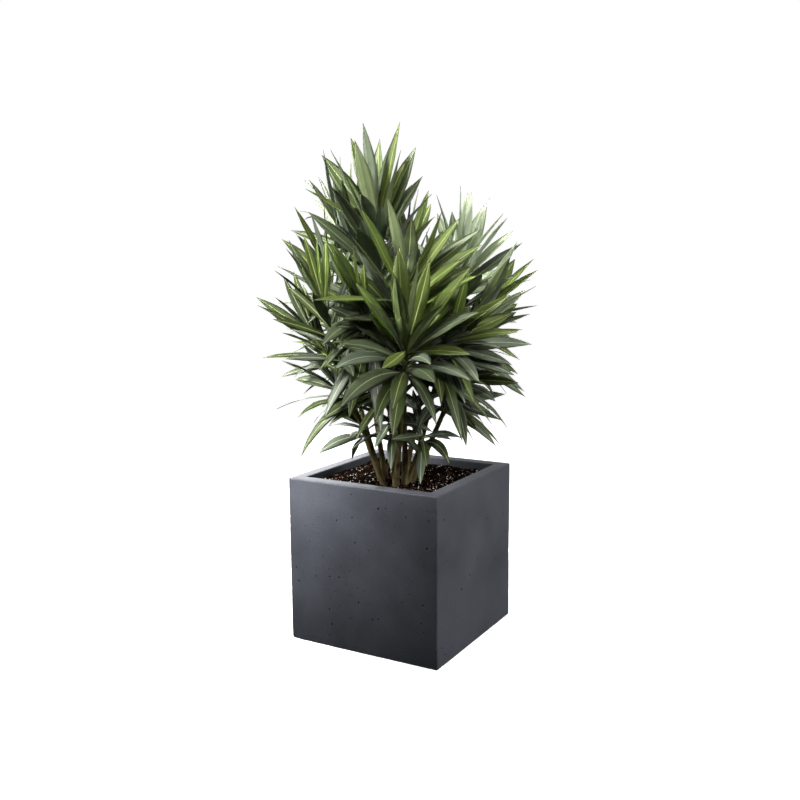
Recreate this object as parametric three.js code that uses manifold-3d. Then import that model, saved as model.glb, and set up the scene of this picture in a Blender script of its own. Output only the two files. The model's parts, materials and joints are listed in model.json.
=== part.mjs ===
// A young multi-stemmed oleander in a square planter, in millimetres, +Z up.
// The origin is the centre of the planter's underside, which stands on the ground. The planter's sides
// face along X and Y. Ten stems rise from the soil and fork into leafy shoots, and each shoot carries its
// leaves in whorls of three: upright at the tip, spreading below it and hanging at the foot of the shoot.
import * as THREE from "three";
import { mergeVertices } from "three/addons/utils/BufferGeometryUtils.js";
import Module from "manifold-3d";

const wasm = await Module();
wasm.setup();

// ---- Driving dimensions ----

const GAP = 0.3; // clearance between neighbouring pieces

const POT_SIDE = 300; // outer width, depth and height of the cubic planter
const POT_WALL = 24; // thickness of its walls and floor
const POT_CORNER = 3; // radius of its upright outer edges
const SOIL_DROP = 14; // depth of the soil's surface below the rim
const SOIL_TOP = POT_SIDE - SOIL_DROP;

const FOOT = new THREE.Vector3(15, -50, SOIL_TOP + GAP); // middle of the clump, on the soil
const FOOT_RING = 26; // the stems' feet stand round this circle, with one in the middle

const STEM_RADIUS = 6.2; // a stem above its root flare
const BOUGH_RADIUS = 4; // a bough where it leaves its stem
const SHOOT_RADIUS = 2.9; // either one where its leafy shoot begins
const TIP_RADIUS = 1.7; // a leafy shoot at its tip
const FLARE = 0.35; // extra radius at the ground, as a share
const FLARE_HEIGHT = 0.05; // height over which the flare dies out, as a share of the stem's length
const LIMB_SIDES = 6;
const LIMB_STEPS = 5;
const RING_CROWDING = 1.4; // above 1, a limb's rings are closer together towards its foot
const SHOOT_SIDES = 3;
const SHOOT_STEPS = 3;

const LEAVES_PER_WHORL = 3;
const LEAF_THICKNESS = 0.012; // as a share of the leaf's length
const WHORL_CROWDING = 1.15; // above 1, a shoot's whorls are closer together towards its tip
const FOOT_MARGIN = 0.06; // bare share of a shoot below its whorls
const END_MARGIN = 0.02; // and above them
const YOUNGEST_LEAF = 0.82; // length of a shoot's youngest leaves, as a share of its longest
const OLDEST_LEAF = 0.88; // and of its oldest
const TURN_WOBBLE = 26; // how much a leaf's bearing on its shoot varies, in degrees
const LEAN_WOBBLE = 16; // and its lean away from the shoot
const TWIST_WOBBLE = 50; // and the roll of its blade
const LENGTH_WOBBLE = 0.2; // and its length, as a share
const SAG_WOBBLE = 0.8; // and its sag
const CELL = 3; // edge of the cubes by which foliage masses keep out of each other's way
const SUNWARD = 1.1; // how strongly a leaf turns its upper side to the light
const LEAF_TRIES = 18; // places that a leaf may try before it is left out
const TRY_TURN = 16; // extra degrees of turn for each further try
const TRY_LEAN = 8;
const LEAF_ROOT_SHARE = 0.22; // a leaf may cross its own shoot's leaves only this near to its root
const MERGE = 0.02; // points of a foliage mass nearer together than this become one
const LEAF_CLEARANCE = 7; // least distance of a leaf from the soil and from the planter's walls

// The crown's space, which no leaf leaves: an ellipsoid round the clump's middle, cut off at the bottom.
const CROWN_MIDDLE = 570;
const CROWN_HEIGHT = 368; // from its middle to its top
const CROWN_REACH = 262;
const CROWN_BOTTOM = 332;

const degrees = THREE.MathUtils.degToRad;
const mix = THREE.MathUtils.lerp;
const LIGHT_FROM = new THREE.Vector3(0.35, -0.8, 0.5); // the side from which the plant gets its light

// How the leaves of a shoot stand. There are "whorls" of them, each leaf "slim" times as wide as it is
// long. They stand at "open" degrees to the shoot at its tip and at "spread" degrees at its foot, and the
// lowest ones hang down by "sag" times their length.
const UPRIGHT = { whorls: 9, slim: 0.18, open: 11, spread: 58, sag: 0.2 };
const SLENDER = { whorls: 9, slim: 0.135, open: 13, spread: 70, sag: 0.24 };
const SPARSE = { ...SLENDER, whorls: 8 };
const ROSETTE = { whorls: 10, slim: 0.175, open: 14, spread: 86, sag: 0.48 };
const HANGING = { whorls: 6, slim: 0.17, open: 34, spread: 92, sag: 0.6 };
const LOW = { whorls: 4, slim: 0.2, open: 50, spread: 105, sag: 0.75 };
const THIN = { whorls: 4, slim: 0.075, open: 8, spread: 26, sag: 0.7 };

// Stems rise from the ground: "foot" is the bearing of the foot on the ring, and the middle stem has none.
// Boughs leave the limb "from" at "fork", a share of its length. Each limb ends in a leafy shoot, "leafy"
// long, whose tip is at a bearing and reach from the clump's middle, and at a height above the underside.
// Its first whorl is turned by "turn" degrees, and "seed" picks the small differences between its leaves. The
// limbs that come first take their space first.
const LIMBS = [
  {
    name: "top", bearing: -150, reach: 31, height: 749,
    leafy: 160, leaf: 198, seed: 1, turn: 40, habit: UPRIGHT,
  },
  {
    name: "front", foot: -62, bearing: -51, reach: 120, height: 540,
    leafy: 62, leaf: 196, seed: 66, turn: 20, habit: ROSETTE,
  },
  {
    name: "centre", foot: -22, bearing: -48, reach: 73, height: 634,
    leafy: 94, leaf: 182, seed: 54, turn: 40, habit: UPRIGHT,
  },
  {
    name: "right_low", from: "centre", fork: 0.5, bearing: -14, reach: 124, height: 552,
    leafy: 60, leaf: 160, seed: 55, turn: 20, habit: ROSETTE,
  },
  {
    name: "pale", foot: 52, bearing: 43, reach: 119, height: 669,
    leafy: 110, leaf: 172, seed: 14, turn: 40, habit: UPRIGHT,
  },
  {
    name: "right", foot: 15, bearing: 20, reach: 150, height: 592,
    leafy: 100, leaf: 158, seed: 76, turn: 80, habit: UPRIGHT,
  },
  {
    name: "left", foot: -112, bearing: -113, reach: 150, height: 622,
    leafy: 165, leaf: 130, seed: 4, turn: 0, habit: SLENDER,
  },
  {
    name: "upper_left", foot: -157, bearing: -176, reach: 130, height: 662,
    leafy: 120, leaf: 150, seed: 91, turn: 100, habit: SLENDER,
  },
  {
    name: "far_left", from: "upper_left", fork: 0.45, bearing: -147, reach: 142, height: 556,
    leafy: 90, leaf: 130, seed: 37, turn: 40, habit: SPARSE,
  },
  {
    name: "top_left", from: "top", fork: 0.6, bearing: 178, reach: 84, height: 706,
    leafy: 90, leaf: 172, seed: 72, turn: 60, habit: SLENDER,
  },
  {
    name: "centre_left", from: "top", fork: 0.45, bearing: -96, reach: 88, height: 604,
    leafy: 80, leaf: 165, seed: 59, turn: 80, habit: ROSETTE,
  },
  {
    name: "lower_front", from: "front", fork: 0.45, bearing: -84, reach: 84, height: 478,
    leafy: 45, leaf: 116, seed: 82, turn: 100, habit: HANGING,
  },
  {
    name: "lower_right", from: "right", fork: 0.4, bearing: 3, reach: 128, height: 488,
    leafy: 60, leaf: 116, seed: 92, turn: 20, habit: HANGING,
  },
  {
    name: "far_right", from: "pale", fork: 0.48, bearing: 50, reach: 162, height: 556,
    leafy: 80, leaf: 112, seed: 92, turn: 40, habit: SLENDER,
  },
  {
    name: "bottom_right", from: "pale", fork: 0.3, bearing: 26, reach: 96, height: 442,
    leafy: 45, leaf: 119, seed: 21, turn: 20, habit: HANGING,
  },
  {
    name: "bottom_left", from: "left", fork: 0.38, bearing: -132, reach: 106, height: 466,
    leafy: 55, leaf: 130, seed: 89, turn: 40, habit: HANGING,
  },
  {
    name: "back_right", foot: 90, bearing: 82, reach: 132, height: 612,
    leafy: 110, leaf: 152, seed: 5, turn: 60, habit: UPRIGHT,
  },
  {
    name: "back", foot: 127, bearing: 104, reach: 78, height: 696,
    leafy: 120, leaf: 158, seed: 37, turn: 60, habit: UPRIGHT,
  },
  {
    name: "back_left", foot: 165, bearing: 150, reach: 130, height: 618,
    leafy: 110, leaf: 165, seed: 25, turn: 40, habit: UPRIGHT,
  },
  {
    name: "back_low_right", from: "back_right", fork: 0.42, bearing: 92, reach: 122, height: 530,
    leafy: 60, leaf: 145, seed: 2, turn: 20, habit: ROSETTE,
  },
  {
    name: "back_middle", from: "back", fork: 0.45, bearing: 118, reach: 140, height: 580,
    leafy: 90, leaf: 147, seed: 4, turn: 60, habit: ROSETTE,
  },
  {
    name: "back_low_left", from: "back_left", fork: 0.42, bearing: 158, reach: 118, height: 520,
    leafy: 60, leaf: 130, seed: 8, turn: 80, habit: ROSETTE,
  },
  {
    name: "thin_left", from: "top_left", fork: 0.14, bearing: 178, reach: 113, height: 730,
    leafy: 50, leaf: 190, seed: 32, turn: 30, habit: THIN,
  },
  {
    name: "low_front", from: "front", fork: 0.2, bearing: -66, reach: 60, height: 414,
    leafy: 35, leaf: 92, seed: 22, turn: 30, habit: LOW,
  },
  {
    name: "low_right", from: "right", fork: 0.14, bearing: -15, reach: 66, height: 384,
    leafy: 32, leaf: 92, seed: 41, turn: 60, habit: LOW,
  },
  {
    name: "low_left", from: "left", fork: 0.12, bearing: -120, reach: 62, height: 398,
    leafy: 32, leaf: 106, seed: 16, turn: 60, habit: LOW,
  },
];

// ---- Solids ----

// A closed geometry as a manifold-3d solid.
function solidOf(geometry) {
  const bare = geometry.clone();
  for (const name of Object.keys(bare.attributes)) {
    if (name !== "position") bare.deleteAttribute(name);
  }
  const merged = mergeVertices(bare, 1e-3);
  return new wasm.Manifold(
    new wasm.Mesh({
      numProp: 3,
      vertProperties: merged.attributes.position.array,
      triVerts: new Uint32Array(merged.index.array),
    }),
  );
}

// The outer skin of a solid's largest body: loose scraps are dropped and sealed hollows are filled.
function largestBody(solid) {
  const bodies = solid.decompose();
  return bodies.reduce((a, b) => (b.volume() > a.volume() ? b : a));
}

function meshOf(name, solid, material) {
  const { numProp, numVert, vertProperties, triVerts } = solid.getMesh();
  const points = new Float32Array(numVert * 3);
  for (let i = 0; i < numVert; i++) {
    points.set(vertProperties.subarray(i * numProp, i * numProp + 3), i * 3);
  }
  const geometry = new THREE.BufferGeometry()
    .setAttribute("position", new THREE.BufferAttribute(points, 3))
    .setIndex(new THREE.BufferAttribute(triVerts, 1));
  geometry.computeVertexNormals();
  const mesh = new THREE.Mesh(geometry, material);
  mesh.name = name;
  return mesh;
}

// A skin drawn over rings of equally many points, capped at each end or drawn to a point there.
function loft(rings, tip, root) {
  const sides = rings[0].length;
  const points = rings.flat();
  const faces = [];
  const at = (ring, side) => ring * sides + (side % sides);
  const last = rings.length - 1;
  for (let ring = 0; ring < last; ring++) {
    for (let side = 0; side < sides; side++) {
      const [a, b] = [at(ring, side), at(ring, side + 1)];
      const [c, d] = [at(ring + 1, side), at(ring + 1, side + 1)];
      faces.push(a, b, d, a, d, c);
    }
  }
  const close = (ring, end, turned) => {
    const hub = end ? points.push(end) - 1 : at(ring, 0);
    for (let side = end ? 0 : 1; side < (end ? sides : sides - 1); side++) {
      const [a, b] = [at(ring, side), at(ring, side + 1)];
      faces.push(...(turned ? [hub, b, a] : [hub, a, b]));
    }
  };
  close(0, root, true);
  close(last, tip, false);
  return new THREE.BufferGeometry().setFromPoints(points).setIndex(faces);
}

// A tapering limb along a stretch of a curve, from share "from" to share "to" of its length, its rings
// closer together towards its foot. A foot at ground level is cut flat there.
function limbSolid(curve, from, to, radiusAt, sides, steps, ground) {
  const rings = [];
  for (let step = 0; step <= steps; step++) {
    const share = mix(from, to, (step / steps) ** RING_CROWDING);
    const centre = curve.getPointAt(share);
    const { along, across, outward } = frameOf(curve.getTangentAt(share));
    const radius = radiusAt(share);
    const ring = Array.from({ length: sides }, (_, side) => {
      const angle = (2 * Math.PI * side) / sides;
      return centre
        .clone()
        .addScaledVector(across, radius * Math.cos(angle))
        .addScaledVector(outward, radius * Math.sin(angle));
    });
    if (step === 0 && ground !== undefined) {
      for (const point of ring) point.addScaledVector(along, (ground - point.z) / along.z);
    }
    rings.push(ring);
  }
  return solidOf(loft(rings));
}

// A right-handed frame round a direction that is never near the X axis.
function frameOf(direction) {
  const along = direction.clone().normalize();
  const across = new THREE.Vector3(1, 0, 0).projectOnPlane(along).normalize();
  const outward = new THREE.Vector3().crossVectors(along, across);
  return { along, across, outward };
}

// ---- Planter and soil ----

function roundedSquare(side, radius) {
  const half = side / 2;
  const straight = half - radius;
  const shape = new THREE.Shape().moveTo(straight, -half);
  shape.absarc(straight, -straight, radius, -Math.PI / 2, 0);
  shape.absarc(straight, straight, radius, 0, Math.PI / 2);
  shape.absarc(-straight, straight, radius, Math.PI / 2, Math.PI);
  shape.absarc(-straight, -straight, radius, Math.PI, 1.5 * Math.PI);
  return shape;
}

function block(side, radius, bottom, top) {
  const geometry = new THREE.ExtrudeGeometry(roundedSquare(side, radius), {
    depth: top - bottom,
    bevelEnabled: false,
    curveSegments: 3,
  });
  return solidOf(geometry.translate(0, 0, bottom));
}

function potSolid() {
  const cavity = block(POT_SIDE - 2 * POT_WALL, POT_CORNER, POT_WALL, 2 * POT_SIDE);
  return block(POT_SIDE, POT_CORNER, 0, POT_SIDE).subtract(cavity);
}

function soilSolid() {
  return block(POT_SIDE - 2 * (POT_WALL + GAP), POT_CORNER, POT_WALL + GAP, SOIL_TOP);
}

// ---- Limbs ----

function polar(bearing, reach, height) {
  const angle = degrees(bearing);
  return new THREE.Vector3(FOOT.x + reach * Math.cos(angle), FOOT.y + reach * Math.sin(angle), height);
}

// A limb leans out from its root and turns up towards its tip.
function limbCurve({ parent, fork, foot, bearing, reach, height }) {
  const ring = foot === undefined ? 0 : FOOT_RING;
  const root = parent ? parent.curve.getPointAt(fork) : polar(foot ?? 0, ring, FOOT.z);
  const tip = polar(bearing, reach, height);
  const elbow = root.clone().lerp(tip, 0.5).setZ(mix(root.z, tip.z, 0.4));
  return new THREE.QuadraticBezierCurve3(root, elbow, tip);
}

function limbRadius({ parent, leafyFrom }, share) {
  const flare = parent ? 0 : FLARE * Math.exp(-share / FLARE_HEIGHT);
  return share < leafyFrom
    ? mix(parent ? BOUGH_RADIUS : STEM_RADIUS, SHOOT_RADIUS, share / leafyFrom) * (1 + flare)
    : mix(SHOOT_RADIUS, TIP_RADIUS, (share - leafyFrom) / (1 - leafyFrom));
}

function stemSolid(stem) {
  const radiusAt = (share) => limbRadius(stem, share);
  return limbSolid(stem.curve, 0, stem.leafyFrom, radiusAt, LIMB_SIDES, LIMB_STEPS, FOOT.z);
}

// A bough starts inside the limb that it leaves, and is cut back to stand just clear of it.
function boughSolid(bough) {
  const bare = ({ curve, leafyFrom }, radiusAt) =>
    limbSolid(curve, 0, leafyFrom, radiusAt, LIMB_SIDES, LIMB_STEPS);
  const { parent } = bough;
  const whole = bare(bough, (share) => limbRadius(bough, share));
  const socket = bare(parent, (share) => limbRadius(parent, share) + GAP);
  return largestBody(whole.subtract(socket));
}

// The leafy end of a limb, which starts just clear of its bare stretch.
function shootSolid(limb) {
  const start = limb.leafyFrom + GAP / limb.curve.getLength();
  return limbSolid(limb.curve, start, 1, (share) => limbRadius(limb, share), SHOOT_SIDES, SHOOT_STEPS);
}

// ---- Foliage ----

// A fixed random number from 0 to 1 for each set of whole numbers.
function chance(seed, leaf, kind) {
  const value = Math.sin(seed * 127.1 + leaf * 311.7 + kind * 74.7) * 43758.5453;
  return value - Math.floor(value);
}

// One leaf of a shoot: its root on the shoot's axis, its direction, its side vector, its length and its sag.
function leafPlan(limb, whorl, slot, attempt) {
  const { curve, leafyFrom, leaf, seed } = limb;
  const { whorls, slim, open, spread, sag } = limb.habit;
  const age = 1 - whorl / (whorls - 1); // 0 for the youngest whorl, 1 for the oldest
  const number = whorl * LEAVES_PER_WHORL + slot + 100 * attempt;
  const wobble = (kind, size) => (chance(seed, number, kind) - 0.5) * size;
  const leafy = 1 - leafyFrom;
  const share = mix(1 - END_MARGIN * leafy, leafyFrom + FOOT_MARGIN * leafy, age ** WHORL_CROWDING);
  const { along, across, outward } = frameOf(curve.getTangentAt(share));
  const turn = limb.turn + (360 / LEAVES_PER_WHORL) * (slot + whorl / 2);
  const bearing = degrees(turn + wobble(1, TURN_WOBBLE + TRY_TURN * attempt));
  const out = across.multiplyScalar(Math.cos(bearing)).addScaledVector(outward, Math.sin(bearing));
  const lean = degrees(mix(open, spread, age) + wobble(2, LEAN_WOBBLE + TRY_LEAN * attempt));
  const direction = along.clone().multiplyScalar(Math.cos(lean)).addScaledVector(out, Math.sin(lean));
  const lit = LIGHT_FROM.clone().projectOnPlane(direction).multiplyScalar(SUNWARD);
  const face = new THREE.Vector3().crossVectors(along, out);
  face.crossVectors(direction, face).add(lit).normalize();
  const flat = new THREE.Vector3().crossVectors(face, direction);
  const twist = degrees(wobble(3, TWIST_WOBBLE));
  const side = flat.multiplyScalar(Math.cos(twist)).addScaledVector(face, Math.sin(twist));
  const grown = Math.min(1, YOUNGEST_LEAF + age) * mix(1, OLDEST_LEAF, age);
  const length = leaf * grown * (1 + wobble(4, LENGTH_WOBBLE));
  return {
    root: curve.getPointAt(share),
    direction,
    side,
    length,
    width: length * slim,
    sag: sag * age * (1 + wobble(5, SAG_WOBBLE)),
  };
}

// The midrib: straight on from the shoot, then down under the leaf's own weight.
function midrib({ root, direction, length, sag }) {
  const middle = root.clone().addScaledVector(direction, length / 2);
  const tip = root.clone().addScaledVector(direction, length * (1 - sag / 3));
  tip.z -= sag * length;
  return new THREE.QuadraticBezierCurve3(root, middle, tip);
}

// A lance-shaped blade of triangular section, with its keel below and its edges a little raised.
const BLADE_STATIONS = [
  { share: 0.4, width: 0.92 },
  { share: 0.7, width: 0.92 },
];

// Width of the blade along its length, as a share of its greatest.
function bladeWidth(share) {
  const stations = [{ share: 0, width: 0 }, ...BLADE_STATIONS, { share: 1, width: 0 }];
  const next = Math.max(1, stations.findIndex((station) => station.share >= share));
  const [before, after] = [stations[next - 1], stations[next]];
  return mix(before.width, after.width, (share - before.share) / (after.share - before.share));
}

function leafSolid(plan) {
  const curve = midrib(plan);
  const thickness = LEAF_THICKNESS * plan.length;
  const ring = (share, width) => {
    const centre = curve.getPoint(share);
    const face = new THREE.Vector3().crossVectors(curve.getTangent(share), plan.side).normalize();
    return [
      centre.clone().addScaledVector(plan.side, width / 2).addScaledVector(face, thickness / 2),
      centre.clone().addScaledVector(plan.side, -width / 2).addScaledVector(face, thickness / 2),
      centre.clone().addScaledVector(face, -thickness / 2),
    ];
  };
  const rings = BLADE_STATIONS.map(({ share, width }) => ring(share, width * plan.width));
  return solidOf(loft(rings, curve.getPoint(1), plan.root));
}

// The cubes of space that a blade crosses: those that only its root crosses, and the rest.
function bladeCells(plan, space) {
  const curve = midrib(plan);
  const pitch = CELL * 0.6;
  const steps = Math.ceil(plan.length / pitch);
  const root = new Set();
  const blade = new Set();
  for (let step = 0; step <= steps; step++) {
    const share = step / steps;
    const centre = curve.getPoint(share);
    const half = (plan.width / 2) * bladeWidth(share);
    const rows = Math.ceil(half / pitch);
    for (let row = -rows; row <= rows; row++) {
      const point = centre.clone().addScaledVector(plan.side, (half * row) / Math.max(rows, 1));
      (share < LEAF_ROOT_SHARE ? root : blade).add(space.cellOf(point));
    }
  }
  return { root, blade };
}

// A box of small cubes round the plant. Each limb and each foliage mass holds the cubes that it crosses, and
// nothing else comes into them or into their neighbours.
class Space {
  static HALF = 115; // cubes from the clump's middle to the box's sides
  static HIGH = 230;
  static FREE = -1;

  constructor() {
    this.wide = 2 * Space.HALF;
    this.holder = new Int16Array(this.wide * this.wide * Space.HIGH).fill(Space.FREE);
    this.hasBlade = new Uint8Array(this.holder.length);
    this.around = [];
    for (const x of [-1, 0, 1]) {
      for (const y of [-1, 0, 1]) {
        for (const z of [-1, 0, 1]) this.around.push((z * this.wide + y) * this.wide + x);
      }
    }
  }

  cellOf({ x, y, z }) {
    if (!isInCrown(x, y, z)) return undefined;
    const column = Math.floor((x - FOOT.x) / CELL) + Space.HALF;
    const row = Math.floor((y - FOOT.y) / CELL) + Space.HALF;
    const layer = Math.floor((z - SOIL_TOP) / CELL) + 1;
    return (layer * this.wide + row) * this.wide + column;
  }

  claim({ root, blade }, holder) {
    for (const cell of [...root, ...blade]) this.holder[cell] = holder;
    for (const cell of blade) this.hasBlade[cell] = 1;
  }

  isFree({ root, blade }, holder) {
    if (root.has(undefined) || blade.has(undefined)) return false;
    for (const cell of blade) {
      if (this.hasBlade[cell]) return false;
    }
    for (const cell of [...root, ...blade]) {
      for (const step of this.around) {
        const other = this.holder[cell + step];
        if (other !== Space.FREE && other !== holder) return false;
      }
    }
    return true;
  }
}

function isInCrown(x, y, z) {
  const out = Math.hypot(x - FOOT.x, y - FOOT.y) / CROWN_REACH;
  const up = (z - CROWN_MIDDLE) / CROWN_HEIGHT;
  const isOverSoil = Math.max(Math.abs(x), Math.abs(y)) < POT_SIDE / 2 - POT_WALL - LEAF_CLEARANCE;
  return z > (isOverSoil ? SOIL_TOP + LEAF_CLEARANCE : CROWN_BOTTOM) && Math.hypot(out, up) < 1;
}

// Leaves for one whorl of a shoot, each turned until it finds free space, or left out.
function growWhorl(limb, index, whorl, space) {
  const leaves = [];
  for (let slot = 0; slot < LEAVES_PER_WHORL; slot++) {
    for (let attempt = 0; attempt < LEAF_TRIES; attempt++) {
      const plan = leafPlan(limb, whorl, slot, attempt);
      const cells = bladeCells(plan, space);
      if (!space.isFree(cells, index)) continue;
      space.claim(cells, index);
      leaves.push(plan);
      break;
    }
  }
  return leaves;
}

// ---- The plant ----

const materials = {
  planter: new THREE.MeshStandardMaterial({ color: 0x4b4e55, roughness: 0.75, metalness: 0 }),
  soil: new THREE.MeshStandardMaterial({ color: 0x1d1512, roughness: 1, metalness: 0 }),
  bark: new THREE.MeshStandardMaterial({ color: 0x5c4f35, roughness: 0.8, metalness: 0 }),
  leaf: new THREE.MeshStandardMaterial({ color: 0x4c6132, roughness: 0.5, metalness: 0 }),
};

const plant = new THREE.Group();
plant.add(meshOf("planter", potSolid(), materials.planter));
plant.add(meshOf("soil", soilSolid(), materials.soil));

for (const limb of LIMBS) {
  limb.parent = LIMBS.find((other) => other.name === limb.from);
  limb.curve = limbCurve(limb);
  limb.leafyFrom = 1 - limb.leafy / limb.curve.getLength();
}

for (const limb of LIMBS) {
  const name = `${limb.parent ? "bough" : "stem"}_${limb.name}`;
  plant.add(meshOf(name, limb.parent ? boughSolid(limb) : stemSolid(limb), materials.bark));
}

// The cubes along a stretch of a limb's curve.
function limbCells({ curve }, from, to, space) {
  const points = curve.getSpacedPoints(Math.ceil((2 * curve.getLength()) / CELL));
  const stretch = points.slice(Math.ceil(from * points.length), Math.floor(to * points.length));
  return stretch.map((point) => space.cellOf(point)).filter((cell) => cell !== undefined);
}

// The masses fill their space one after another, each from its tip down.
const space = new Space();
LIMBS.forEach((limb, index) => {
  const bareTo = limb.leafyFrom - LEAF_CLEARANCE / limb.curve.getLength();
  space.claim({ root: limbCells(limb, limb.leafyFrom, 1, space), blade: [] }, index);
  space.claim({ root: limbCells(limb, 0, bareTo, space), blade: [] }, LIMBS.length + index);
  limb.leaves = [];
});
LIMBS.forEach((limb, index) => {
  for (let whorl = limb.habit.whorls - 1; whorl > 0; whorl--) {
    limb.leaves.push(...growWhorl(limb, index, whorl, space));
  }
});

for (const limb of LIMBS) {
  const pieces = [shootSolid(limb), ...limb.leaves.map(leafSolid)];
  const solid = largestBody(wasm.Manifold.union(pieces)).simplify(MERGE);
  plant.add(meshOf(`leaves_${limb.name}`, solid, materials.leaf));
}

export default plant;
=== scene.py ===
import json
import math

import bmesh
import bpy
import numpy as np
from mathutils import Matrix, Vector, noise

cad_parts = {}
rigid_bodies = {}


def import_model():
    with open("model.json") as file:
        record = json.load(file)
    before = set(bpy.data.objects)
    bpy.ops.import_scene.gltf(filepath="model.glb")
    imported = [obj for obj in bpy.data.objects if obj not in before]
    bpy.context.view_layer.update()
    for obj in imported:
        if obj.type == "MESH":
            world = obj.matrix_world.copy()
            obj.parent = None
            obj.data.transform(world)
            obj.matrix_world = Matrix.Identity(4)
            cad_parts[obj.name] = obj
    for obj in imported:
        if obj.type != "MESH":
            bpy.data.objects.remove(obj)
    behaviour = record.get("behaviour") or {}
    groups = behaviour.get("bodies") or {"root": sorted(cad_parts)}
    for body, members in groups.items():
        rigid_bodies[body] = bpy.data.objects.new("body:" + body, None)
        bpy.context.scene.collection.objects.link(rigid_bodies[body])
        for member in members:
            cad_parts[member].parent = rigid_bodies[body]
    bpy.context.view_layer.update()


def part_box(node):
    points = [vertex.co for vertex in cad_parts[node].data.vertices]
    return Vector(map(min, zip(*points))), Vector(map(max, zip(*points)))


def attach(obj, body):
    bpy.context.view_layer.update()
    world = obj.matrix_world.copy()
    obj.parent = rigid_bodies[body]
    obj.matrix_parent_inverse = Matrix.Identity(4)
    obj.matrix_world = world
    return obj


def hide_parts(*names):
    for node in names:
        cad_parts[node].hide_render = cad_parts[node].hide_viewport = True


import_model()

# ---- The view ----
# Someone stands a step and a half away, to the right of the planter's wide face, and looks slightly down
# at the plant. The whole plant stands in the middle of the picture with plain white all round it.

VIEW_FROM = Vector((0.854, -1.4899, 0.6798))
VIEW_AZIMUTH = math.radians(29.951)  # round to the right of the wide face
VIEW_DROP = math.radians(8.249)  # below the horizon
VIEW_ROLL = math.radians(-0.467)
LENS = 42.753  # mm, before FILM mm of film
FILM = 36.0

back = Vector((
    math.sin(VIEW_AZIMUTH) * math.cos(VIEW_DROP),
    -math.cos(VIEW_AZIMUTH) * math.cos(VIEW_DROP),
    math.sin(VIEW_DROP),
))
level = (-back).cross(Vector((0, 0, 1))).normalized()
upright = back.cross(level)
turned = Matrix.Rotation(VIEW_ROLL, 3, back) @ Matrix((level, upright, back)).transposed()
camera_data = bpy.data.cameras.new("camera")
camera_data.lens = LENS
camera_data.sensor_width = FILM
camera = bpy.data.objects.new("camera", camera_data)
camera.matrix_world = Matrix.Translation(VIEW_FROM) @ turned.to_4x4()
bpy.context.scene.collection.objects.link(camera)
bpy.context.scene.camera = camera

# ---- The studio ----
# A pale sweep of paper under a dim sky. Soft lamps stand all round: narrow ones at the front, so that the
# planter darkens towards its lower right, and broad ones behind, which put a pale sheen on what they graze.

FLOOR_SIZE = 60.0
FLOOR_DROP = 0.0004
PAPER_TONES = (0.86, 0.9)
PAPER_GLOW = 0.8  # the paper is lit from behind, so that it stays white round the planter
SKY_DIM = 0.01  # towards the viewer
SKY_BRIGHT = 0.33  # behind and above the plant
SKY_TOWARDS = (-0.35, 0.55, 0.75)
SKY_DIM_FROM = -0.6  # the sky is at its dimmest where its direction and SKY_TOWARDS give this product


def socket(node, name, value):
    node.inputs[name].default_value = value


def add(tree, kind, **settings):
    node = tree.nodes.new(kind)
    for name, value in settings.items():
        setattr(node, name, value)
    return node


def paper_material():
    material = bpy.data.materials.new("pale paper")
    material.use_nodes = True
    tree = material.node_tree
    shader = tree.nodes["Principled BSDF"]
    socket(shader, "Roughness", 0.9)
    grain = add(tree, "ShaderNodeTexNoise")
    socket(grain, "Scale", 3.0)
    tone = add(tree, "ShaderNodeMapRange")
    socket(tone, "To Min", PAPER_TONES[0])
    socket(tone, "To Max", PAPER_TONES[1])
    socket(shader, "Emission Color", (1, 1, 1, 1))
    socket(shader, "Emission Strength", PAPER_GLOW)
    tree.links.new(grain.outputs["Fac"], tone.inputs["Value"])
    tree.links.new(tone.outputs["Result"], shader.inputs["Base Color"])
    return material


def white_sky():
    world = bpy.data.worlds.new("white sky")
    bpy.context.scene.world = world
    world.use_nodes = True
    tree = world.node_tree
    direction = add(tree, "ShaderNodeTexCoord")
    towards = add(tree, "ShaderNodeVectorMath", operation="DOT_PRODUCT")
    towards.inputs[1].default_value = Vector(SKY_TOWARDS).normalized()
    strength = add(tree, "ShaderNodeMapRange")
    socket(strength, "From Min", SKY_DIM_FROM)
    socket(strength, "From Max", 1.0)
    socket(strength, "To Min", SKY_DIM)
    socket(strength, "To Max", SKY_BRIGHT)
    seen = add(tree, "ShaderNodeLightPath")
    choose = add(tree, "ShaderNodeMix", data_type="FLOAT")
    socket(choose, "B", 1.0)
    tree.links.new(direction.outputs["Generated"], towards.inputs[0])
    tree.links.new(towards.outputs["Value"], strength.inputs["Value"])
    tree.links.new(seen.outputs["Is Camera Ray"], choose.inputs["Factor"])
    tree.links.new(strength.outputs["Result"], choose.inputs["A"])
    tree.links.new(choose.outputs["Result"], tree.nodes["Background"].inputs["Strength"])
    socket(tree.nodes["Background"], "Color", (1, 1, 1, 1))


def soft_light(name, place, aim, size, power, spread=180):
    data = bpy.data.lights.new(name, "AREA")
    data.shape = "DISK"
    data.size = size
    data.energy = power
    data.spread = math.radians(spread)
    lamp = bpy.data.objects.new(name, data)
    lamp.visible_camera = False
    lamp.location = place
    lamp.rotation_euler = (Vector(aim) - Vector(place)).to_track_quat("-Z", "Y").to_euler()
    bpy.context.scene.collection.objects.link(lamp)


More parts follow.
